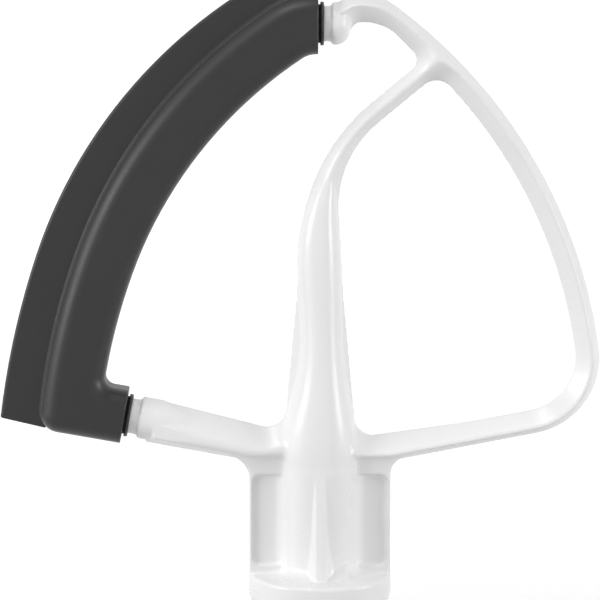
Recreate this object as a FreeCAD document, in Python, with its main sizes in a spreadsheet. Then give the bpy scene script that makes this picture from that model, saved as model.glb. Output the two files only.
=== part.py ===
import FreeCAD, Part
import math
import os

import Sketcher
from FreeCAD import Placement, Rotation, Vector

# Flat beater with a flexible scraping edge, as it is stored: hub down, tip up.
# Millimetres and degrees. The origin is the centre of the hub's end face, on the shaft's axis.
# +Z points up along the shaft, +X points to the open loop, the soft edge lies on the -X side,
# and the casting's parting plane is Y = 0.

doc = FreeCAD.newDocument("flat_beater")

# Driving dimensions. Heights are measured up from the hub's end face.
sizes = {
    # collar and shaft tube
    "collar_radius": 17.6,
    "collar_band_bottom": 14.5,
    "collar_band_top": 19.5,
    "collar_taper_angle": 18.0,
    "collar_edge_round": 0.8,
    "shoulder_drop": 0.5,
    "tube_radius": 9.3,
    "tube_top": 46.5,
    "tube_foot_round": 2.5,
    "bore_diameter": 12.8,
    "bore_depth": 46.0,
    "pin_slot_width": 5.2,
    "pin_slot_reach": 9.4,
    "pin_slot_length": 13.0,
    "pin_lock_angle": 38.0,
    "pin_lock_bottom": 7.8,
    # lateral webs and gussets of the hub
    "web_reach": 17.4,
    "web_thickness": 3.2,
    "web_root_round": 3.4,
    "web_rim_width": 0.8,
    "web_rim_thickness": 5.6,
    "web_pocket_bottom": 21.8,
    "web_pocket_top": 44.6,
    "web_pocket_round": 1.8,
    "web_corner_round_left": 6.0,
    "web_corner_round_right": 4.5,
    "gusset_reach": 12.8,
    "gusset_top": 53.0,
    "gusset_crest": 2.2,
    "gusset_knee_spread": 0.8,
    "gusset_knee_drop": 2.1,
    "gusset_root_half": 5.6,
    "gusset_root_reach": 6.6,
    "gusset_tip_reach": 8.3,
    "foot_wedge_width": 3.1,
    "foot_wedge_side": 4.0,
    "foot_wedge_reach": 10.7,
    "foot_wedge_rise": 3.7,
    # section of the bars
    "bar_half_depth": 5.2,
    "outer_draft_angle": 24.0,
    "window_draft_angle": 45.0,
    # arms
    "right_arm_level": 44.1,
    "right_arm_angle": 11.05,
    "right_arm_width": 6.15,
    "right_arm_root_angle": 8.0,
    "right_arm_root_end": 37.1,
    "left_arm_under_level": 44.37,
    "left_arm_under_angle": 10.5,
    "left_arm_top_level": 52.87,
    "left_arm_top_angle": 14.3,
    "left_arm_gap": 5.0,
    "arm_corner_round_left": 4.8,
    "arm_corner_round_right": 4.5,
    # centre column, its rounded crown and the brace
    "column_base_half": 8.45,
    "column_base_height": 60.3,
    "column_waist_half": 5.78,
    "column_waist_rise": 29.7,
    "column_neck_half": 4.85,
    "column_neck_rise": 17.5,
    "column_blend": 150.0,
    "crown_side_gap": 0.4,
    "crown_overlap": 0.6,
    "crown_foot_width": 18.1,
    "crown_foot_depth": 18.2,
    "crown_base_depth": 16.8,
    "crown_waist_depth": 12.2,
    "crown_neck_depth": 10.0,
    "crown_bend_side": 0.95,
    "crown_bend_rise": 6.5,
    "crown_bend_width": 6.0,
    "crown_bend_depth": 7.8,
    "crown_tip_side": 3.2,
    "crown_tip_rise": 13.5,
    "crown_tip_width": 2.0,
    "crown_tip_depth": 3.6,
    "brace_angle": 39.8,
    "brace_width": 5.2,
    "brace_side": 14.27,
    "brace_fall": 21.06,
    "brace_outer_bend": 49.0,
    "brace_inner_bend": 26.4,
    # loop and hook
    "loop_centre_side": 56.5,
    "loop_centre_height": 58.3,
    "loop_radius": 126.3,
    "loop_width": 6.1,
    "loop_low_angle": 8.2,
    "loop_high_angle": 53.5,
    "loop_corner_round": 19.0,
    "window_corner_round": 13.5,
    "window_top_round": 4.4,
    "left_window_top_round": 2.95,
    "hook_under_rise": 0.2,
    "hook_under_round": 11.7,
    "hook_drop_angle": 44.7,
    "hook_drop_side": 20.74,
    "hook_drop_fall": 5.41,
    "hook_crest_round": 12.0,
    "hook_rise_angle": 25.0,
    "hook_start_gap": 3.48,
    "hook_start_rise": 4.55,
    "hook_heel_angle": 58.0,
    "hook_heel_gap": 7.67,
    "hook_heel_fall": 2.25,
    "hook_heel_round": 2.6,
    # soft edge: route of its middle line
    "edge_arc_side": 55.3,
    "edge_arc_height": 58.0,
    "edge_arc_radius": 114.75,
    "edge_arc_angle": 160.0,
    "edge_low_radius": 167.5,
    "edge_bend_radius": 13.0,
    "edge_bend_angle": 123.65,
    "edge_end_straight": 0.6,
    "stub_angle": 10.0,
    "stub_end_side": 48.05,
    # necks, bosses, rod and sleeve
    "rod_diameter": 8.7,
    "rod_elbow": 6.5,
    "boss_diameter": 10.4,
    "boss_edge_round": 0.4,
    "arm_boss_length": 5.0,
    "arm_boss_fade": 12.0,
    "hook_boss_length": 4.5,
    "hook_boss_round": 3.7,
    "arm_neck_length": 2.3,
    "hook_neck_length": 1.9,
    "core_diameter": 10.6,
    "core_reveal": 1.4,
    "core_edge_round": 0.3,
    "core_groove_width": 0.5,
    "core_groove_depth": 0.6,
    # silicone moulding: body along the rod and thin fin
    "edge_width": 14.5,
    "edge_depth": 13.4,
    "edge_stub_width": 13.4,
    "edge_inner_corner": 2.5,
    "edge_outer_corner": 4.8,
    "edge_front_round": 4.5,
    "fin_arc_side": 47.2,
    "fin_arc_height": 59.6,
    "fin_arc_radius": 123.1,
    "fin_arc_angle": 161.25,
    "fin_low_radius": 206.6,
    "fin_low_height": 58.6,
    "fin_cut_angle": 13.3,
    "fin_thickness": 2.2,
    "fin_bevel": 0.5,
}

sheet = doc.addObject("Spreadsheet::Sheet", "Sizes")
for row, (name, value) in enumerate(sizes.items(), start=1):
    sheet.set(f"A{row}", name)
    sheet.set(f"B{row}", str(value))
    sheet.setAlias(f"B{row}", name)
doc.recompute()


def size(name):
    return float(sheet.get(name))


# Plane geometry in the parting plane, as (x, height) pairs.


def direction(angle):
    return Vector(math.cos(math.radians(angle)), math.sin(math.radians(angle)), 0)


def point(x, height):
    return Vector(x, height, 0)


def line(x, height, angle):
    return point(x, height), direction(angle)


def line_through(first, second):
    return first, (second - first).normalize()


def shifted(base, distance):
    # the same line moved to its left by distance
    start, along = base
    return start + Vector(-along.y, along.x, 0) * distance, along


def tangent(centre, radius, angle):
    return centre + direction(angle) * radius, direction(angle + 90)


def meet(first, second):
    p, d = first
    q, e = second
    cross = d.x * e.y - d.y * e.x
    gap = q - p
    return p + d * ((gap.x * e.y - gap.y * e.x) / cross)


def at_x(base, x):
    start, along = base
    return start + along * ((x - start.x) / along.x)


def at_height(base, height):
    start, along = base
    return start + along * ((height - start.y) / along.y)


def arc_between(centre, start, end, turn):
    # turn is +1 for anticlockwise, -1 for clockwise
    radius = (start - centre).Length
    first = math.atan2(start.y - centre.y, start.x - centre.x)
    last = math.atan2(end.y - centre.y, end.x - centre.x)
    if turn < 0:
        first, last = last, first
    while last <= first:
        last += 2 * math.pi
    circle = Part.Circle(centre, Vector(0, 0, 1), radius)
    return Part.ArcOfCircle(circle, first, last)


def rounded(corners):
    # closed outline through corners, each (point, radius), with a tangent arc at each radius
    edges = []
    count = len(corners)
    entries = []
    exits = []
    arcs = []
    for i in range(count):
        here, radius = corners[i]
        back = (corners[i - 1][0] - here).normalize()
        ahead = (corners[(i + 1) % count][0] - here).normalize()
        if radius == 0:
            entries.append(here)
            exits.append(here)
            arcs.append(None)
            continue
        half = back.getAngle(ahead) / 2
        reach = radius / math.tan(half)
        entries.append(here + back * reach)
        exits.append(here + ahead * reach)
        centre = here + (back + ahead).normalize() * (radius / math.sin(half))
        turn = 1 if (ahead.x * back.y - ahead.y * back.x) > 0 else -1
        arcs.append((centre, turn))
    for i in range(count):
        if arcs[i]:
            edges.append(arc_between(arcs[i][0], entries[i], exits[i], arcs[i][1]))
        following = entries[(i + 1) % count]
        if (following - exits[i]).Length > 1e-6:
            edges.append(Part.LineSegment(exits[i], following))
    return edges


# Feature helpers.


def make_body(name):
    body = doc.addObject("PartDesign::Body", name)
    body.Label = name
    return body


def make_sketch(body, name, role, geometry, offset=None):
    sketch = body.newObject("Sketcher::SketchObject", name)
    plane = [part for part in body.Origin.OriginFeatures if part.Role == role][0]
    sketch.AttachmentSupport = [(plane, "")]
    sketch.MapMode = "FlatFace"
    if offset is not None:
        sketch.AttachmentOffset = offset
    for piece in geometry:
        sketch.addGeometry(piece, False)
    return sketch


def make_pad(body, name, sketch, half_depth, taper=None):
    pad = body.newObject("PartDesign::Pad", name)
    pad.Profile = sketch
    pad.SideType = "Two sides"
    pad.setExpression("Length", half_depth)
    pad.setExpression("Length2", half_depth)
    if taper:
        pad.setExpression("TaperAngle", taper)
        pad.setExpression("TaperAngle2", taper)
    doc.recompute()
    return pad


def make_window(body, name, sketch):
    before = body.Shape.Volume
    pocket = body.newObject("PartDesign::Pocket", name)
    pocket.Profile = sketch
    pocket.SideType = "Two sides"
    pocket.setExpression("Length", "Sizes.bar_half_depth * 1.1")
    pocket.setExpression("Length2", "Sizes.bar_half_depth * 1.1")
    pocket.setExpression("TaperAngle", "Sizes.window_draft_angle")
    pocket.setExpression("TaperAngle2", "Sizes.window_draft_angle")
    doc.recompute()
    if body.Shape.Volume > before - 1:
        raise RuntimeError(name + " cuts nothing")
    return pocket


def make_pocket(body, name, sketch, depth):
    # a pocket that runs up from its sketch, along +Z
    before = body.Shape.Volume
    pocket = body.newObject("PartDesign::Pocket", name)
    pocket.Profile = sketch
    pocket.Reversed = True
    pocket.setExpression("Length", depth)
    doc.recompute()
    if body.Shape.Volume > before - 1:
        raise RuntimeError(name + " cuts nothing")
    return pocket


def make_turning(body, name, sketch, axis):
    turning = body.newObject("PartDesign::Revolution", name)
    turning.Profile = sketch
    turning.ReferenceAxis = axis
    turning.Angle = 360
    doc.recompute()
    return turning


def make_circle_sketch(body, name, role, centre, diameter, offset):
    circle = Part.Circle(centre, Vector(0, 0, 1), size(diameter) / 2)
    sketch = make_sketch(body, name, role, [circle], offset)
    sketch.addConstraint(Sketcher.Constraint("Diameter", 0, size(diameter)))
    sketch.renameConstraint(0, "diameter")
    sketch.setExpression("Constraints.diameter", "Sizes." + diameter)
    return sketch


def make_pipe(body, name, profile, route, kind):
    pipe = body.newObject(kind, name)
    pipe.Profile = profile
    pipe.Spine = (route, [f"Edge{i + 1}" for i in range(route.GeometryCount)])
    pipe.Mode = "Standard"
    doc.recompute()
    return pipe


# Lines that several pieces share.

loop_centre = point(-size("loop_centre_side"), size("loop_centre_height"))
right_arm_under = line(0, size("right_arm_level"), size("right_arm_angle"))
right_arm_over = shifted(right_arm_under, size("right_arm_width"))
right_arm_root = (
    at_x(right_arm_over, size("right_arm_root_end")),
    direction(size("right_arm_root_angle")),
)
left_arm_under = line(0, size("left_arm_under_level"), 180 - size("left_arm_under_angle"))
left_arm_over = line(0, size("left_arm_top_level"), 180 - size("left_arm_top_angle"))



def column_side(side):
    # the column's edge on one side: base to waist, then waist to neck
    height = size("column_base_height")
    base = point(side * size("column_base_half"), height)
    height += size("column_waist_rise")
    waist = point(side * size("column_waist_half"), height)
    height += size("column_neck_rise")
    neck = point(side * size("column_neck_half"), height)
    return line_through(base, waist), line_through(waist, neck)


# The middle line of the soft edge: level end, small bend, two long arcs, elbow, stub.

arc_centre = point(size("edge_arc_side"), size("edge_arc_height"))
arc_radius = size("edge_arc_radius")
low_radius = size("edge_low_radius")
low_centre = arc_centre - direction(size("edge_arc_angle")) * (low_radius - arc_radius)
bend_radius = size("edge_bend_radius")
bend_centre = arc_centre + direction(size("edge_bend_angle")) * (arc_radius - bend_radius)
end_level = bend_centre.y + bend_radius
end_x = bend_centre.x + size("edge_end_straight")
stub_x = -size("stub_end_side")
stub_end = (at_x(left_arm_under, stub_x) + at_x(left_arm_over, stub_x)) / 2
stub_along = direction(-size("stub_angle"))


def on_low_arc(base, radius):
    # where a line that runs to the right crosses the circle round the lower arc's centre
    start, along = base
    gap = start - low_centre
    middle = gap.dot(along)
    return start + along * (-middle - math.sqrt(middle**2 - gap.dot(gap) + radius**2))


def edge_route(start_x, reach, elbow, outward=0, downward=0):
    # start_x is where the level end starts, reach how far the stub runs past the silicone's
    # face; outward and downward move the long arcs and the stub off the middle line
    lift = Vector(0, outward, 0)
    bend_top = bend_centre + Vector(0, bend_radius, 0) + lift
    bend_foot = arc_centre + direction(size("edge_bend_angle")) * (arc_radius + outward)
    change = arc_centre + direction(size("edge_arc_angle")) * (arc_radius + outward)
    geometry = [
        Part.LineSegment(point(start_x, end_level) + lift, bend_top),
        arc_between(bend_centre, bend_top, bend_foot, 1),
        arc_between(arc_centre, bend_foot, change, 1),
    ]
    stub_line = shifted((stub_end, stub_along), -downward)
    last = stub_line[0] + stub_along * reach
    low = low_radius + outward
    if elbow == 0:
        corner = on_low_arc(stub_line, low)
        geometry.append(arc_between(low_centre, change, corner, 1))
        geometry.append(Part.LineSegment(corner, last))
        return geometry
    centre = on_low_arc(shifted(stub_line, elbow), low - elbow)
    leave = low_centre + (centre - low_centre).normalize() * low
    join = centre + Vector(stub_along.y, -stub_along.x, 0) * elbow
    geometry.append(arc_between(low_centre, change, leave, 1))
    geometry.append(arc_between(centre, leave, join, 1))
    geometry.append(Part.LineSegment(join, last))
    return geometry


# Hook and brace, placed from the level end of the soft edge.

hook_level = end_level + size("hook_under_rise")
hook_start = point(end_x + size("hook_start_gap"), hook_level + size("hook_start_rise"))
hook_under = line(0, hook_level, 0)
hook_rise = (hook_start, direction(size("hook_rise_angle")))
hook_drop = line(
    size("hook_drop_side"), hook_level - size("hook_drop_fall"), 180 - size("hook_drop_angle")
)
hook_heel = line(
    end_x + size("hook_heel_gap"), hook_level - size("hook_heel_fall"), size("hook_heel_angle")
)
brace_middle = line(size("brace_side"), hook_level - size("brace_fall"), size("brace_angle"))
brace_outer = shifted(brace_middle, size("brace_width") / 2)
brace_inner = shifted(brace_middle, -size("brace_width") / 2)

# Frame: one casting, from the bars outwards.

frame = make_body("beater_frame")
arm_end_x = stub_x + size("left_arm_gap")

outline = [
    (meet(left_arm_under, line(-size("web_reach"), 0, 90)), 0),
    (meet(right_arm_under, line(size("web_reach"), 0, 90)), 0),
    (
        meet(right_arm_under, tangent(loop_centre, size("loop_radius"), size("loop_low_angle"))),
        size("loop_corner_round"),
    ),
    (
        meet(
            tangent(loop_centre, size("loop_radius"), size("loop_low_angle")),
            tangent(loop_centre, size("loop_radius"), size("loop_high_angle")),
        ),
        size("loop_radius"),
    ),
    (
        meet(tangent(loop_centre, size("loop_radius"), size("loop_high_angle")), hook_rise),
        size("hook_crest_round"),
    ),
    (hook_start, 0),
    (point(hook_start.x, hook_start.y - 4 * size("bar_half_depth")), 0),
    (at_x(left_arm_over, arm_end_x), 0),
    (at_x(left_arm_under, arm_end_x), 0),
]
outline_sketch = make_sketch(frame, "frame_outline", "XZ_Plane", rounded(outline))
make_pad(frame, "frame_pad", outline_sketch, "Sizes.bar_half_depth", "-Sizes.outer_draft_angle")

left_lower, left_upper = column_side(-1)
far_left = 2 * size("stub_end_side")
heel_foot = at_height(hook_heel, end_level - size("boss_diameter") * 0.47)
left_window = [
    (at_x(left_arm_over, -far_left), 0),
    (meet(left_arm_over, left_lower), size("arm_corner_round_left")),
    (meet(left_lower, left_upper), size("column_blend")),
    (meet(left_upper, brace_outer), size("brace_outer_bend")),
    (meet(brace_outer, hook_drop), size("left_window_top_round")),
    (meet(hook_drop, hook_under), size("hook_under_round")),
    (meet(hook_under, hook_heel), size("hook_heel_round")),
    (heel_foot, 0),
    (point(-far_left, heel_foot.y), 0),
]
left_sketch = make_sketch(frame, "left_window_outline", "XZ_Plane", rounded(left_window))
make_window(frame, "left_window", left_sketch)

right_lower, right_upper = column_side(1)
inner_radius = size("loop_radius") - size("loop_width")
inner_low = tangent(loop_centre, inner_radius, size("loop_low_angle") + 2)
inner_high = tangent(loop_centre, inner_radius, size("loop_high_angle") - 11)
right_window = [
    (meet(right_arm_root, right_lower), size("arm_corner_round_right")),
    (meet(right_arm_root, right_arm_over), size("column_blend")),
    (meet(right_arm_over, inner_low), size("window_corner_round")),
    (meet(inner_low, inner_high), inner_radius),
    (meet(inner_high, brace_inner), size("window_top_round")),
    (meet(brace_inner, right_upper), size("brace_inner_bend")),
    (meet(right_upper, right_lower), size("column_blend")),
]
right_sketch = make_sketch(frame, "right_window_outline", "XZ_Plane", rounded(right_window))
make_window(frame, "right_window", right_sketch)


# Hub: collar and tube turned in one, then the webs with their root fillets.

collar_foot = size("collar_band_bottom") * math.tan(math.radians(size("collar_taper_angle")))
hub_profile = [
    (point(0, 0), 0),
    (point(size("collar_radius") - collar_foot, 0), size("collar_edge_round")),
    (point(size("collar_radius"), size("collar_band_bottom")), 0),
    (point(size("collar_radius"), size("collar_band_top")), size("collar_edge_round")),
    (
        point(size("tube_radius"), size("collar_band_top") + size("shoulder_drop")),
        size("tube_foot_round"),
    ),
    (point(size("tube_radius"), size("tube_top")), 0),
    (point(0, size("tube_top")), 0),
]
hub_sketch = make_sketch(frame, "hub_profile", "XZ_Plane", rounded(hub_profile))
make_turning(frame, "hub_turning", hub_sketch, (hub_sketch, ["V_Axis"]))


def web_section():
    # plate through the tube, with a fillet in each of the four roots
    half = size("web_thickness") / 2
    root = size("web_root_round")
    tube = size("tube_radius")
    centre_x = math.sqrt((tube + root) ** 2 - (half + root) ** 2)
    reach = centre_x + root
    geometry = []
    for side in (1, -1):
        geometry.append(
            Part.LineSegment(Vector(side * reach, -half, 0), Vector(side * reach, half, 0))
        )
    for side in (1, -1):
        for face in (1, -1):
            centre = Vector(side * centre_x, face * (half + root), 0)
            on_plate = Vector(side * centre_x, face * half, 0)
            on_tube = centre * (tube / (tube + root))
            geometry.append(Part.LineSegment(Vector(side * reach, face * half, 0), on_plate))
            geometry.append(arc_between(centre, on_plate, on_tube, -side * face))
    on_tube = Vector(centre_x, half + root, 0) * (tube / (tube + root))
    for face in (1, -1):
        first = Vector(face * on_tube.x, face * on_tube.y, 0)
        last = Vector(-face * on_tube.x, face * on_tube.y, 0)
        geometry.append(arc_between(Vector(0, 0, 0), first, last, 1))
    return geometry


shelf = Placement(Vector(0, 0, size("collar_band_bottom")), Rotation())
section_sketch = make_sketch(frame, "web_section", "XY_Plane", web_section(), shelf)
section_pad = frame.newObject("PartDesign::Pad", "web_roots")
section_pad.Profile = section_sketch
section_pad.setExpression("Length", "Sizes.tube_top - 0.3 - Sizes.collar_band_bottom")
doc.recompute()

web_side = line(size("web_reach"), 0, 90)
other_side = line(-size("web_reach"), 0, 90)
left_corner = size("web_corner_round_left")
right_corner = size("web_corner_round_right")
web_foot = size("collar_band_bottom") + 1
right_inner_x = size("web_reach") + right_corner * 0.83
left_inner_x = -size("web_reach") - left_corner * 0.84
arm_middle = size("right_arm_width") / 2
ridge_rise = size("web_thickness") / 2 * math.tan(math.radians(size("outer_draft_angle")))
right_face_under = shifted(right_arm_under, ridge_rise)
left_face_under = shifted(left_arm_under, -ridge_rise)
web_outline = [
    (point(-size("web_reach"), web_foot), 0),
    (point(size("web_reach"), web_foot), 0),
    (meet(right_face_under, web_side), right_corner),
    (at_x(right_face_under, right_inner_x), 0),
    (at_x(right_face_under, right_inner_x) + Vector(0, arm_middle, 0), 0),
    (at_x(left_face_under, left_inner_x) + Vector(0, arm_middle, 0), 0),
    (at_x(left_face_under, left_inner_x), 0),
    (meet(left_face_under, other_side), left_corner),
]
plate_sketch = make_sketch(frame, "web_outline", "XZ_Plane", rounded(web_outline))
make_pad(frame, "web_plate", plate_sketch, "Sizes.web_thickness / 2")


def web_pocket(side):
    outer = side * (size("web_reach") - size("web_rim_width"))
    inner = side * size("tube_radius") * 0.8
    low = size("web_pocket_bottom")
    high = size("web_pocket_top")
    soft = size("web_pocket_round")
    return rounded(
        [
            (point(outer, low), soft),
            (point(outer, high), soft),
            (point(inner, high), soft),
            (point(inner, low), soft),
        ]
    )


rim_geometry = rounded(web_outline) + web_pocket(1) + web_pocket(-1)
rim_sketch = make_sketch(frame, "web_rim_outline", "XZ_Plane", rim_geometry)
make_pad(frame, "web_rim", rim_sketch, "Sizes.web_rim_thickness / 2")


def gusset_section(reach, inward):
    # front and back rib in one outline: a slim crest on flanks that widen towards the tube
    crest = size("gusset_crest") / 2
    knee = crest + size("gusset_knee_spread")
    root = size("gusset_root_half")
    quarter = [
        (crest, reach),
        (knee, reach - size("gusset_knee_drop")),
        (root, reach - inward),
    ]
    corners = [Vector(x, y, 0) for x, y in quarter]
    corners += [Vector(x, -y, 0) for x, y in reversed(quarter)]
    corners += [Vector(-x, -y, 0) for x, y in quarter]
    corners += [Vector(-x, y, 0) for x, y in reversed(quarter)]
    return rounded([(corner, 0) for corner in corners])


def level(height):
    return Placement(Vector(0, 0, height), Rotation())


gusset_depth = size("gusset_reach") - size("gusset_root_reach")
gusset_foot = make_sketch(
    frame,
    "gusset_foot",
    "XY_Plane",
    gusset_section(size("gusset_reach"), gusset_depth),
    level(size("collar_band_top") - 1),
)
gusset_tip = make_sketch(
    frame,
    "gusset_tip",
    "XY_Plane",
    gusset_section(size("gusset_tip_reach"), gusset_depth),
    level(size("gusset_top")),
)
gusset = frame.newObject("PartDesign::AdditiveLoft", "gussets")
gusset.Profile = gusset_foot
gusset.Sections = [gusset_tip]
gusset.Ruled = True
doc.recompute()


def across(x):
    # a plane square to the X axis
    return Placement(Vector(0, 0, x), Rotation())


# Small wedge on the collar, beside the front gusset.

wedge_foot = size("collar_band_top")
wedge_inside = size("tube_radius") / 2
wedge_slope = line(-size("foot_wedge_reach"), wedge_foot, 45)
wedge_top = wedge_foot + size("foot_wedge_rise")
wedge_corners = [
    point(-wedge_inside, wedge_foot - 1),
    point(-size("foot_wedge_reach"), wedge_foot - 1),
    wedge_slope[0],
    at_height(wedge_slope, wedge_top),
    point(-wedge_inside, wedge_top),
]
wedge_sketch = make_sketch(
    frame,
    "foot_wedge_side_view",
    "YZ_Plane",
    rounded([(corner, 0) for corner in wedge_corners]),
    across(size("foot_wedge_side")),
)
foot_wedge = frame.newObject("PartDesign::Pad", "foot_wedge")
foot_wedge.Profile = wedge_sketch
foot_wedge.setExpression("Length", "Sizes.foot_wedge_width")
doc.recompute()

# Column crown: the rounded body of the column, a loft of flattening ellipses.


def ellipse_at(name, x, height, half_width, half_depth):
    centre = Vector(x, 0, 0)
    across_way = Vector(half_width, 0, 0)
    depth_way = Vector(0, half_depth, 0)
    if half_width >= half_depth:
        shape = Part.Ellipse(centre + across_way, centre + depth_way, centre)
    else:
        shape = Part.Ellipse(centre + depth_way, centre - across_way, centre)
    return make_sketch(frame, name, "XY_Plane", [shape], level(height))


def crown_at(name, height, depth):
    left, right = (left_lower, right_lower)
    if height > waist_height - 0.01:
        left, right = (left_upper, right_upper)
    ends = (at_height(left, height).x, at_height(right, height).x)
    half_width = (ends[1] - ends[0]) / 2 - size("crown_side_gap")
    return ellipse_at(name, sum(ends) / 2, height, half_width, size(depth) / 2)


waist_height = size("column_base_height") + size("column_waist_rise")
neck_height = waist_height + size("column_neck_rise")
crown_foot = ellipse_at(
    "crown_foot",
    0,
    size("tube_top") - size("crown_overlap"),
    size("crown_foot_width") / 2,
    size("crown_foot_depth") / 2,
)
crown = frame.newObject("PartDesign::AdditiveLoft", "column_crown")
crown.Profile = crown_foot
crown.Sections = [
    crown_at("crown_base", size("column_base_height"), "crown_base_depth"),
    crown_at("crown_waist", waist_height, "crown_waist_depth"),
    crown_at("crown_neck", neck_height, "crown_neck_depth"),
    ellipse_at(
        "crown_bend",
        size("crown_bend_side"),
        neck_height + size("crown_bend_rise"),
        size("crown_bend_width") / 2,
        size("crown_bend_depth") / 2,
    ),
    ellipse_at(
        "crown_tip",
        size("crown_tip_side"),
        neck_height + size("crown_tip_rise"),
        size("crown_tip_width") / 2,
        size("crown_tip_depth") / 2,
    ),
]
doc.recompute()

# Round bosses at both ends of the edge, and the rod between them.


def end_frame(start, angle):
    return Placement(start, Rotation(Vector(0, 0, 1), angle))


hook_side = end_frame(point(end_x, end_level), 0)
arm_side = end_frame(stub_end, -size("stub_angle"))
boss_radius = size("boss_diameter") / 2
hook_face = size("core_reveal") + size("hook_neck_length")
arm_face = size("core_reveal") + size("arm_neck_length")
hook_boss_end = hook_face + size("hook_boss_length")
hook_boss = [
    (point(hook_face, 0), 0),
    (point(hook_face, boss_radius), size("boss_edge_round")),
    (point(hook_boss_end, boss_radius), size("hook_boss_round")),
    (point(hook_boss_end, 0), 0),
]
arm_boss_end = arm_face + size("arm_boss_length")
arm_boss = [
    (point(arm_face, 0), 0),
    (point(arm_face, boss_radius), size("boss_edge_round")),
    (point(arm_boss_end, boss_radius), 0),
    (point(arm_boss_end + size("arm_boss_fade"), boss_radius / 2), 0),
    (point(arm_boss_end + size("arm_boss_fade"), 0), 0),
]
hook_sketch = make_sketch(
    frame, "hook_boss_profile", "XZ_Plane", rounded(hook_boss), hook_side
)
make_turning(frame, "hook_boss", hook_sketch, (hook_sketch, ["H_Axis"]))
arm_sketch = make_sketch(frame, "arm_boss_profile", "XZ_Plane", rounded(arm_boss), arm_side)
make_turning(frame, "arm_boss", arm_sketch, (arm_sketch, ["H_Axis"]))


def round_pipe(body, name, diameter, start, reach, kind):
    start_x = end_x + start
    profile = make_circle_sketch(
        body, name + "_section", "YZ_Plane", Vector(0, end_level, 0), diameter, across(start_x)
    )
    route = make_sketch(
        body, name + "_route", "XZ_Plane", edge_route(start_x, reach, size("rod_elbow"))
    )
    doc.recompute()
    return make_pipe(body, name, profile, route, kind)


ADD = "PartDesign::AdditivePipe"
CUT = "PartDesign::SubtractivePipe"
round_pipe(frame, "rod", "rod_diameter", hook_face + 1, arm_face + 1, ADD)

# Shaft bore with the slot and side pocket for the shaft's cross pin.

bore_sketch = make_circle_sketch(
    frame, "bore_outline", "XY_Plane", Vector(0, 0, 0), "bore_diameter", level(0)
)
make_pocket(frame, "shaft_bore", bore_sketch, "Sizes.bore_depth")


def slot_outline(angle):
    half = size("pin_slot_width") / 2
    turn = Rotation(Vector(0, 0, 1), angle)
    corners = [
        Vector(-half, 0, 0),
        Vector(half, 0, 0),
        Vector(half, size("pin_slot_reach"), 0),
        Vector(-half, size("pin_slot_reach"), 0),
    ]
    return rounded([(turn.multVec(corner), 0) for corner in corners])


slot_sketch = make_sketch(frame, "pin_slot_outline", "XY_Plane", slot_outline(0), level(0))
make_pocket(frame, "pin_slot", slot_sketch, "Sizes.pin_slot_length")
lock_sketch = make_sketch(
    frame,
    "pin_lock_outline",
    "XY_Plane",
    slot_outline(size("pin_lock_angle")),
    level(size("pin_lock_bottom")),
)
make_pocket(frame, "pin_lock", lock_sketch, "Sizes.pin_slot_length - Sizes.pin_lock_bottom")

# Core: rigid sleeve round the rod, a little longer than the silicone, with a groove at each
# face of the silicone.


def dress_edges(body, name, kind, measure, amount, chosen):
    # rounds or bevels the edges that the test picks
    names = [
        f"Edge{number}" for number, edge in enumerate(body.Shape.Edges, start=1) if chosen(edge)
    ]
    if not names:
        raise RuntimeError(name + " finds no edge")
    sharp = body.Tip
    dressing = body.newObject(kind, name)
    dressing.Base = (sharp, names)
    dressing.setExpression(measure, "Sizes." + amount)
    doc.recompute()
    return dressing


def is_arc(edge, radius):
    # the curve's own type can't be read on the seams of blended faces
    try:
        return abs(edge.Curve.Radius - radius) < 0.01
    except (AttributeError, TypeError):
        return False


ROUND = "PartDesign::Fillet"
core = make_body("edge_core")
reveal = size("core_reveal")
core_radius = size("core_diameter") / 2
core_ends = [
    Vector(end_x + reveal, 0, end_level),
    Vector((stub_end + stub_along * reveal).x, 0, (stub_end + stub_along * reveal).y),
]
round_pipe(core, "sleeve", "core_diameter", reveal, reveal, ADD)
dress_edges(
    core,
    "sleeve_rims",
    ROUND,
    "Radius",
    "core_edge_round",
    lambda edge: is_arc(edge, core_radius)
    and min((edge.Curve.Center - end).Length for end in core_ends) < 0.01,
)
groove_corners = [
    point(0, core_radius - size("core_groove_depth")),
    point(size("core_groove_width"), core_radius - size("core_groove_depth")),
    point(size("core_groove_width"), core_radius + 1),
    point(0, core_radius + 1),
]
for name, side in (("hook_groove", hook_side), ("arm_groove", arm_side)):
    before = core.Shape.Volume
    outline = rounded([(corner, 0) for corner in groove_corners])
    groove_sketch = make_sketch(core, name + "_outline", "XZ_Plane", outline, side)
    groove = core.newObject("PartDesign::Groove", name)
    groove.Profile = groove_sketch
    groove.ReferenceAxis = (groove_sketch, ["H_Axis"])
    groove.Angle = 360
    doc.recompute()
    if core.Shape.Volume > before - 1:
        raise RuntimeError(name + " cuts nothing")
round_pipe(core, "sleeve_bore", "rod_diameter", reveal + 2, reveal + 2, CUT)

# Silicone: flat-fronted body with rounded long edges, and the thin wiper fin on its outside.

edge = make_body("flex_edge")
half_width = size("edge_width") / 2
half_stub = size("edge_stub_width") / 2
half_depth = size("edge_depth") / 2
outer_side = edge_route(end_x, 0, size("edge_outer_corner"), half_width, half_stub)
inner_side = edge_route(end_x, 0, size("edge_inner_corner"), -half_width, -half_stub)
body_outline = [
    *outer_side,
    *inner_side,
    Part.LineSegment(outer_side[0].StartPoint, inner_side[0].StartPoint),
    Part.LineSegment(outer_side[-1].EndPoint, inner_side[-1].EndPoint),
]
body_sketch = make_sketch(edge, "soft_body_outline", "XZ_Plane", body_outline)
make_pad(edge, "soft_body", body_sketch, "Sizes.edge_depth / 2")


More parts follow.
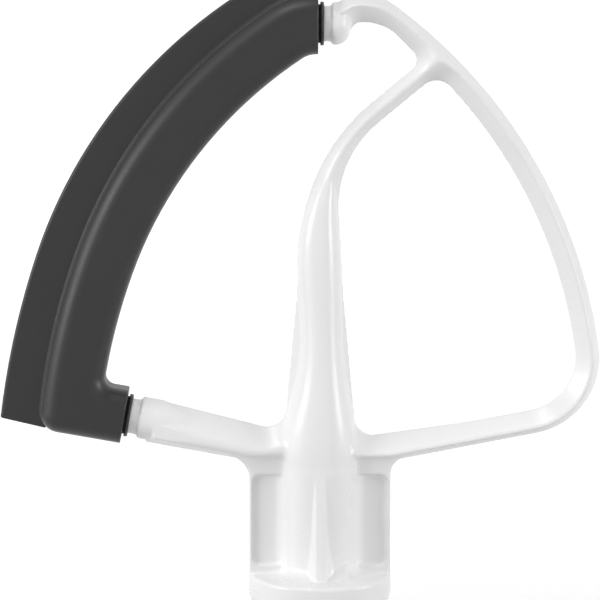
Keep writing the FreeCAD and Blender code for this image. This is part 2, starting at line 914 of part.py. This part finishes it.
def runs_along(edge):
    # true for the long edges of the front and back faces, not for those of the end faces
    ends = [vertex.Point for vertex in edge.Vertexes]
    if any(abs(abs(end.y) - half_depth) > 0.01 for end in ends):
        return False
    at_top = all(abs(end.x - end_x) < 0.01 for end in ends)
    at_stub = all(
        abs((Vector(end.x, end.z, 0) - stub_end).dot(stub_along)) < 0.01 for end in ends
    )
    return not at_top and not at_stub


dress_edges(edge, "soft_body_rounds", ROUND, "Radius", "edge_front_round", runs_along)

fin_centre = point(size("fin_arc_side"), size("fin_arc_height"))
fin_turn = direction(size("fin_arc_angle"))
fin_low_centre = fin_centre - fin_turn * (size("fin_low_radius") - size("fin_arc_radius"))
fin_change = fin_centre + fin_turn * size("fin_arc_radius")
fin_top = point(
    end_x, fin_centre.y + math.sqrt(size("fin_arc_radius") ** 2 - (end_x - fin_centre.x) ** 2)
)
fin_drop = size("fin_low_height") - fin_low_centre.y
fin_low = point(
    fin_low_centre.x - math.sqrt(size("fin_low_radius") ** 2 - fin_drop**2),
    size("fin_low_height"),
)
edge_middle = edge_route(end_x, 0, 0)
elbow_point = on_low_arc((stub_end, stub_along), low_radius)
fin_cut = line(fin_low.x, fin_low.y, -size("fin_cut_angle"))
fin_corner = at_x(fin_cut, elbow_point.x - size("edge_width") * 0.45)
fin_geometry = [
    arc_between(fin_centre, fin_top, fin_change, 1),
    arc_between(fin_low_centre, fin_change, fin_low, 1),
    Part.LineSegment(fin_low, fin_corner),
    Part.LineSegment(fin_corner, elbow_point),
    *edge_middle[:4],
    Part.LineSegment(point(end_x, end_level), fin_top),
]
fin_sketch = make_sketch(edge, "fin_outline", "XZ_Plane", fin_geometry)
make_pad(edge, "fin", fin_sketch, "Sizes.fin_thickness / 2")
fin_radii = (size("fin_arc_radius"), size("fin_low_radius"))
dress_edges(
    edge,
    "fin_tip",
    "PartDesign::Chamfer",
    "Size",
    "fin_bevel",
    lambda edge: is_arc(edge, fin_radii[0]) or is_arc(edge, fin_radii[1]),
)
round_pipe(edge, "soft_body_bore", "core_diameter", 2, 2, CUT)

# Every object and every piece is checked before anything is written.

pieces = [frame, core, edge]
doc.recompute()
for item in doc.Objects:
    if "Invalid" in item.State or "Error" in item.State:
        raise RuntimeError(item.Label + " failed: " + str(item.State))
os.makedirs("parts", exist_ok=True)
for piece in pieces:
    shape = piece.Shape
    if shape.isNull() or not shape.isValid() or len(shape.Solids) != 1:
        raise RuntimeError(piece.Label + " isn't one valid solid")
    print(piece.Label, round(shape.Volume / 1000, 2), "cm3", len(shape.Faces), "faces")
for piece in pieces:
    piece.Shape.exportStep("parts/" + piece.Label + ".step")
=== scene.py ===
import bpy
import bmesh
import math
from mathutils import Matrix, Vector


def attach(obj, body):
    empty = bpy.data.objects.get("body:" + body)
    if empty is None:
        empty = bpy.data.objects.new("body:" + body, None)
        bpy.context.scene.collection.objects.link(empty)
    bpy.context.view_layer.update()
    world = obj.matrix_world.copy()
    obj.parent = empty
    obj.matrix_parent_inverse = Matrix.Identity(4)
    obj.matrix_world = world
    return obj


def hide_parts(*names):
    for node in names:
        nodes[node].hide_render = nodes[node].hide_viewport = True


# Flat beater for a stand mixer: white coated casting, dark sleeve, grey silicone edge.

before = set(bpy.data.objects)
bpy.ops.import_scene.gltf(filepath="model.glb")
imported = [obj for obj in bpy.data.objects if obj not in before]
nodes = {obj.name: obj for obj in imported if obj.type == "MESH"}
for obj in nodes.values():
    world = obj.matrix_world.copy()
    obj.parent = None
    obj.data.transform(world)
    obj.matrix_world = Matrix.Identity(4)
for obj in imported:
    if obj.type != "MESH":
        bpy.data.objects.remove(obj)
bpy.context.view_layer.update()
print("frame loaded:", ", ".join(sorted(nodes)))


# shader maths as plain expressions

class Wire:
    def __init__(self, tree, socket):
        self.tree = tree
        self.socket = socket

    def join(self, operation, other, swapped=False):
        pair = (other, self) if swapped else (self, other)
        return self.tree.add("ShaderNodeMath", {"operation": operation}, dict(enumerate(pair)))

    def beside(self, name):
        # another output of the same node
        return Wire(self.tree, self.socket.node.outputs[name])

    def __add__(self, other):
        return self.join("ADD", other)

    def __radd__(self, other):
        return self.join("ADD", other, True)

    def __sub__(self, other):
        return self.join("SUBTRACT", other)

    def __rsub__(self, other):
        return self.join("SUBTRACT", other, True)

    def __mul__(self, other):
        return self.join("MULTIPLY", other)

    def __rmul__(self, other):
        return self.join("MULTIPLY", other, True)


class Tree:
    # the nodes of a material or a world, added one call at a time
    def __init__(self, owner):
        owner.use_nodes = True
        self.owner = owner
        self.graph = owner.node_tree
        self.graph.nodes.clear()

    def add(self, kind, settings=None, inputs=None, output=0):
        node = self.graph.nodes.new(kind)
        for key, value in (settings or {}).items():
            setattr(node, key, value)
        for key, value in (inputs or {}).items():
            if isinstance(value, Wire):
                self.graph.links.new(value.socket, node.inputs[key])
            else:
                node.inputs[key].default_value = value
        return Wire(self, node.outputs[output]) if node.outputs else None

    def end(self, surface, kind="ShaderNodeOutputMaterial"):
        self.add(kind, None, {"Surface": surface})
        return self.owner


def limited(tree, wire):
    return tree.add("ShaderNodeClamp", None, {"Value": wire, "Min": 0.0, "Max": 1.0})


def stretched(tree, pattern, start, gain):
    # a pattern's middle range spread over zero to one
    return limited(tree, (pattern - start) * gain)


def swing(pattern, amount):
    # as much above nothing as below it
    return (pattern - 0.5) * amount


def blended(tree, amount, first, second):
    # a Mix node's colours are its inputs 6 and 7 and its output 2
    colours = {0: amount, 6: first, 7: second}
    return tree.add("ShaderNodeMix", {"data_type": "RGBA"}, colours, output=2)


def objectPlace(tree):
    return tree.add("ShaderNodeTexCoord", output="Object")


def noise(tree, place, pattern):
    return tree.add("ShaderNodeTexNoise", None, {"Vector": place, **pattern})


def bumped(tree, height, strength, depth):
    inputs = {"Strength": strength, "Distance": depth, "Height": height}
    return tree.add("ShaderNodeBump", None, inputs)


def shownRays(tree):
    # one on the rays that show the background: straight, mirrored or through glass
    seen = tree.add("ShaderNodeLightPath", output="Is Camera Ray")
    return limited(tree, seen + seen.beside("Is Glossy Ray") + seen.beside("Is Transmission Ray"))


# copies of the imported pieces, skinned and softened

def mergedCopy(nodeName, newName):
    mesh = nodes[nodeName].data.copy()
    mesh.name = newName
    mesh.materials.clear()
    form = bmesh.new()
    form.from_mesh(mesh)
    bmesh.ops.remove_doubles(form, verts=form.verts, dist=1e-6)
    form.to_mesh(mesh)
    form.free()
    piece = bpy.data.objects.new(newName, mesh)
    bpy.context.scene.collection.objects.link(piece)
    return piece


def applyAll(piece):
    # bakes the piece's modifiers into its mesh
    graph = bpy.context.evaluated_depsgraph_get()
    baked = bpy.data.meshes.new_from_object(piece.evaluated_get(graph))
    piece.modifiers.clear()
    piece.data = baked


def skinned(piece, voxel):
    # one even skin over the piece, fine enough for its roundings
    remesh = piece.modifiers.new("skin", "REMESH")
    remesh.mode = "VOXEL"
    remesh.voxel_size = voxel
    remesh.use_smooth_shade = True
    applyAll(piece)


def zeroToOne(value):
    return max(0.0, min(1.0, value))


def weighted(piece, name, weightAt):
    # a vertex group with its weights in steps of a tenth
    steps = {}
    for vertex in piece.data.vertices:
        step = round(10 * zeroToOne(weightAt(vertex.co)))
        steps.setdefault(step, []).append(vertex.index)
    group = piece.vertex_groups.new(name=name)
    for step, members in steps.items():
        if step:
            group.add(members, step / 10, "REPLACE")


def smoothed(piece, strength, passes, groupName=""):
    smooth = piece.modifiers.new("soften" + groupName, "SMOOTH")
    smooth.factor = strength
    smooth.iterations = passes
    smooth.vertex_group = groupName


def thinned(piece, keep):
    fewer = piece.modifiers.new("thin", "DECIMATE")
    fewer.ratio = keep
    applyAll(piece)
    piece.data.shade_smooth()


def dress(piece, node, material):
    piece.data.materials.append(material)
    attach(piece, "root")
    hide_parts(node)


# casting with its white gloss coat

casting = {
    "colour": (0.87, 0.87, 0.87, 1),
    "tint": (0.85, 0.85, 0.855, 1),
    "cloud": {"Scale": 35.0, "Detail": 3.0},
    "cloudStart": 0.35,
    "cloudGain": 2.4,
    "roughness": 0.3,
    "cloudRoughness": 0.08,
    "speck": {"Scale": 2600.0, "Detail": 1.0},
    "speckRoughness": 0.04,
    "peel": {"Scale": 900.0, "Detail": 2.0},
    "peelStrength": 0.05,
    "peelDepth": 0.0002,
    "specular": 0.35,
    "coat": 0.2,
    "coatRoughness": 0.12,
    "voxel": 0.0003,
    "keep": 0.3,
    "strength": 0.5,
    "evenPasses": 9,
    "ridgePasses": 90,
    "ridgeFoot": 0.0012,
    "ridgeTop": 0.0032,
    "hubTop": 0.044,
    "hubFade": 0.006,
    "bosses": [
        {"centre": (0.0035, 0, 0.1602), "reach": 0.007},
        {"centre": (-0.0415, 0, 0.0571), "reach": 0.009},
    ],
    "bossFade": 0.004,
    "bossEven": 0.3,
}


def makeCoat(look):
    tree = Tree(bpy.data.materials.new("whiteCoat"))
    place = objectPlace(tree)
    cloud = stretched(tree, noise(tree, place, look["cloud"]), look["cloudStart"], look["cloudGain"])
    speck = noise(tree, place, look["speck"])
    peel = noise(tree, place, look["peel"])
    rough = look["roughness"] + swing(cloud, look["cloudRoughness"])
    surface = {
        "Base Color": blended(tree, cloud, look["tint"], look["colour"]),
        "Roughness": rough + swing(speck, look["speckRoughness"]),
        "Normal": bumped(tree, peel, look["peelStrength"], look["peelDepth"]),
        "Specular IOR Level": look["specular"],
        "Coat Weight": look["coat"],
        "Coat Roughness": look["coatRoughness"],
    }
    return tree.end(tree.add("ShaderNodeBsdfPrincipled", None, surface))


def awayFromBosses(place):
    # none at the turned bosses by the soft edge, one where their fade ends
    weight = 1.0
    for boss in casting["bosses"]:
        outside = (place - Vector(boss["centre"])).length - boss["reach"]
        weight *= zeroToOne(outside / casting["bossFade"])
    return weight


def evenWeight(place):
    # all over, and less at the bosses
    return casting["bossEven"] + (1 - casting["bossEven"]) * awayFromBosses(place)


def ridgeWeight(place):
    # the bars' crests are soft, the hub and its webs keep their edges
    crest = (abs(place.y) - casting["ridgeFoot"]) / (casting["ridgeTop"] - casting["ridgeFoot"])
    aboveHub = (place.z - casting["hubTop"]) / casting["hubFade"]
    return zeroToOne(crest) * zeroToOne(aboveHub) * awayFromBosses(place)


castFrame = mergedCopy("beater_frame", "castFrame")
skinned(castFrame, casting["voxel"])
weighted(castFrame, "evenly", evenWeight)
weighted(castFrame, "ridges", ridgeWeight)
smoothed(castFrame, casting["strength"], casting["evenPasses"], "evenly")
smoothed(castFrame, casting["strength"], casting["ridgePasses"], "ridges")
thinned(castFrame, casting["keep"])
dress(castFrame, "beater_frame", makeCoat(casting))
print("cast frame:", len(castFrame.data.polygons), "faces")


# grey silicone edge

silicone = {
    "colour": (0.0065, 0.0065, 0.0068, 1),
    "dusty": (0.012, 0.012, 0.0123, 1),
    "cloud": {"Scale": 60.0, "Detail": 4.0},
    "cloudStart": 0.35,
    "cloudGain": 2.2,
    "grain": {"Scale": 1800.0, "Detail": 2.0},
    "speckStart": 0.45,
    "speckGain": 3.0,
    "speckShare": 0.3,
    "roughness": 0.47,
    "cloudRoughness": 0.08,
    "speckRoughness": 0.06,
    "grainStrength": 0.12,
    "grainDepth": 0.0001,
    "specular": 0.45,
    "sheen": 0.3,
    "sheenRoughness": 0.4,
    "voxel": 0.0003,
    "keep": 0.4,
    "strength": 0.5,
    "passes": 2,
}


def makeSilicone(look):
    tree = Tree(bpy.data.materials.new("greySilicone"))
    place = objectPlace(tree)
    grain = noise(tree, place, look["grain"])
    cloud = stretched(tree, noise(tree, place, look["cloud"]), look["cloudStart"], look["cloudGain"])
    speck = stretched(tree, grain, look["speckStart"], look["speckGain"])
    dust = cloud * (1 - look["speckShare"]) + speck * look["speckShare"]
    rough = look["roughness"] + swing(cloud, look["cloudRoughness"])
    surface = {
        "Base Color": blended(tree, dust, look["colour"], look["dusty"]),
        "Roughness": rough + swing(speck, look["speckRoughness"]),
        "Normal": bumped(tree, grain, look["grainStrength"], look["grainDepth"]),
        "Specular IOR Level": look["specular"],
        "Sheen Weight": look["sheen"],
        "Sheen Roughness": look["sheenRoughness"],
    }
    return tree.end(tree.add("ShaderNodeBsdfPrincipled", None, surface))


siliconeEdge = mergedCopy("flex_edge", "siliconeEdge")
skinned(siliconeEdge, silicone["voxel"])
smoothed(siliconeEdge, silicone["strength"], silicone["passes"])
thinned(siliconeEdge, silicone["keep"])
dress(siliconeEdge, "flex_edge", makeSilicone(silicone))
print("silicone edge:", len(siliconeEdge.data.polygons), "faces")


# dark sleeve under the silicone

sleeve = {
    "colour": (0.022, 0.022, 0.024, 1),
    "pale": (0.035, 0.035, 0.038, 1),
    "grain": {"Scale": 1400.0, "Detail": 2.0},
    "speckStart": 0.4,
    "speckGain": 3.0,
    "roughness": 0.42,
    "speckRoughness": 0.1,
    "grainStrength": 0.15,
    "grainDepth": 0.0001,
    "sharpAngle": 35.0,
}


def makeSleeve(look):
    tree = Tree(bpy.data.materials.new("darkSleeve"))
    grain = noise(tree, objectPlace(tree), look["grain"])
    speck = stretched(tree, grain, look["speckStart"], look["speckGain"])
    surface = {
        "Base Color": blended(tree, speck, look["colour"], look["pale"]),
        "Roughness": look["roughness"] + speck * look["speckRoughness"],
        "Normal": bumped(tree, grain, look["grainStrength"], look["grainDepth"]),
    }
    return tree.end(tree.add("ShaderNodeBsdfPrincipled", None, surface))


coreSleeve = mergedCopy("edge_core", "coreSleeve")
coreSleeve.data.shade_smooth()
coreSleeve.data.set_sharp_from_angle(angle=math.radians(sleeve["sharpAngle"]))
dress(coreSleeve, "edge_core", makeSleeve(sleeve))
print("sleeve:", len(coreSleeve.data.polygons), "faces")


# pale floor

floor = {
    "half": 6.0,
    "colour": (0.64, 0.64, 0.64, 1),
    "glowNear": 0.54,
    "glowFar": 0.86,
    "glowStart": 0.12,
    "glowEnd": 0.8,
}


def makeFloor(look):
    tree = Tree(bpy.data.materials.new("paleFloor"))
    paper = tree.add("ShaderNodeBsdfDiffuse", None, {"Color": look["colour"]})
    # less glow by the object, so that its shadow stays on the floor
    length = {"operation": "LENGTH"}
    away = tree.add("ShaderNodeVectorMath", length, {0: objectPlace(tree)}, output="Value")
    fade = stretched(tree, away, look["glowStart"], 1 / (look["glowEnd"] - look["glowStart"]))
    paleness = look["glowNear"] + fade * (look["glowFar"] - look["glowNear"])
    shown = shownRays(tree)
    glow = tree.add("ShaderNodeEmission", None, {"Color": paleness, "Strength": shown})
    return tree.end(tree.add("ShaderNodeAddShader", None, {0: paper, 1: glow}))


form = bmesh.new()
bmesh.ops.create_grid(form, x_segments=1, y_segments=1, size=floor["half"])
floorMesh = bpy.data.meshes.new("studioFloor")
form.to_mesh(floorMesh)
form.free()
studioFloor = bpy.data.objects.new("studioFloor", floorMesh)
bpy.context.scene.collection.objects.link(studioFloor)
floorMesh.materials.append(makeFloor(floor))
print("floor laid")


# lamps, world and camera

view = {
    "aim": (-0.0049, 0, 0.08786),
    "elevation": 10.0,
    "distance": 0.86,
    "lens": 210.6,
    "sensor": 36.0,
    "clipStart": 0.01,
    "clipEnd": 30.0,
}
lamps = {
    "leftBank": {"place": (-0.93, -0.36, 0.34), "size": 0.5, "power": 5.0},
    "rightBank": {"place": (0.95, -0.3, 0.2), "size": 0.35, "power": 3.7},
    "topBank": {"place": (-0.35, -0.38, 1.02), "size": 0.4, "power": 3.0},
    "frontBank": {"place": (0.5, -1.2, 0.1), "size": 0.8, "power": 1.2},
}
surround = {"colour": (1, 1, 1, 1), "light": 0.43, "shown": 1.0}

aim = Vector(view["aim"])
for lampName, bank in lamps.items():
    light = bpy.data.lights.new(lampName, "AREA")
    light.shape = "SQUARE"
    light.size = bank["size"]
    light.energy = bank["power"]
    lamp = bpy.data.objects.new(lampName, light)
    lamp.location = bank["place"]
    lamp.rotation_euler = (aim - lamp.location).to_track_quat("-Z", "Y").to_euler()
    bpy.context.scene.collection.objects.link(lamp)
print("lamps hung:", len(lamps))

worldTree = Tree(bpy.data.worlds.new("studioWorld"))
level = surround["light"] + shownRays(worldTree) * (surround["shown"] - surround["light"])
skyInputs = {"Color": surround["colour"], "Strength": level}
sky = worldTree.add("ShaderNodeBackground", None, skyInputs)
bpy.context.scene.world = worldTree.end(sky, "ShaderNodeOutputWorld")

lift = math.radians(view["elevation"])
back = Vector((0, -math.cos(lift), math.sin(lift)))
camera = bpy.data.objects.new("photoCamera", bpy.data.cameras.new("photoCamera"))
camera.data.sensor_width = view["sensor"]
camera.data.lens = view["lens"]
camera.data.clip_start = view["clipStart"]
camera.data.clip_end = view["clipEnd"]
camera.location = aim + back * view["distance"]
camera.rotation_euler = (-back).to_track_quat("-Z", "Y").to_euler()
bpy.context.scene.collection.objects.link(camera)
bpy.context.scene.camera = camera
bpy.context.scene.view_settings.view_transform = "Standard"

print("stage set")
